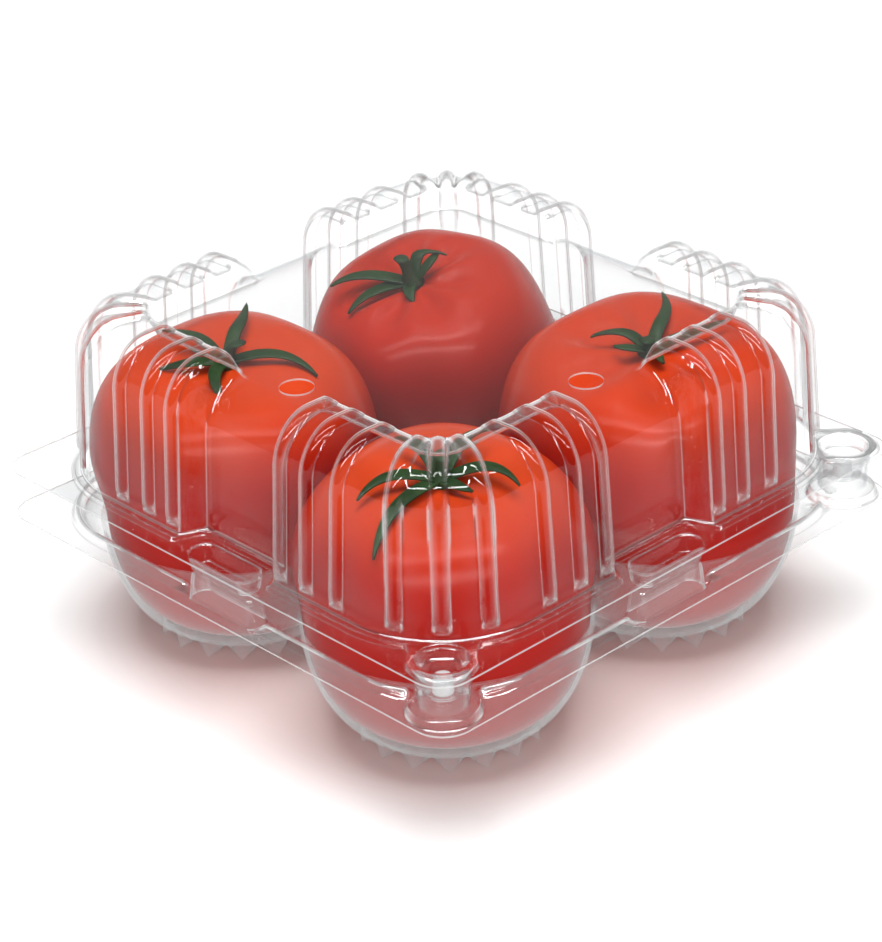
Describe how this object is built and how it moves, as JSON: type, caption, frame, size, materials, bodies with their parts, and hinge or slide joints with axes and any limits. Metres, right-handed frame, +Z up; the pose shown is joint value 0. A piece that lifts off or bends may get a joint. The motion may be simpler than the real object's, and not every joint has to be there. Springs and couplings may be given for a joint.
{
  "type": "plastic clamshell pack",
  "caption": "Clear hinged clamshell pack with a ribbed domed lid over a tray of round bowls that hold ripe tomatoes.",
  "frame": {"origin": "on the table under the middle of the pack", "axes": "+Z up, fold hinge on the +Y side, opening side at -Y, +X to the right"},
  "size_m": [0.18, 0.18, 0.1003],
  "materials": {
    "clear_plastic": "clear gloss",
    "tomato_skin": "smooth glossy skin",
    "calyx_green": "matt leaf"
  },
  "bodies": {
    "base": {"base_tray": "clear_plastic", "tomato_front_left": "tomato_skin", "tomato_front_right": "tomato_skin", "tomato_back_left": "tomato_skin", "tomato_back_right": "tomato_skin", "calyx_front_left": "calyx_green", "calyx_front_right": "calyx_green", "calyx_back_left": "calyx_green", "calyx_back_right": "calyx_green"},
    "lid": {"lid": "clear_plastic"}
  },
  "joints": [
    {"name": "lid_hinge", "type": "hinge", "parent": "base", "child": "lid", "pos_m": [0, 0.09015, 0.0435], "axis": [-1, 0, 0], "range_deg": [0, 150]}
  ]
}
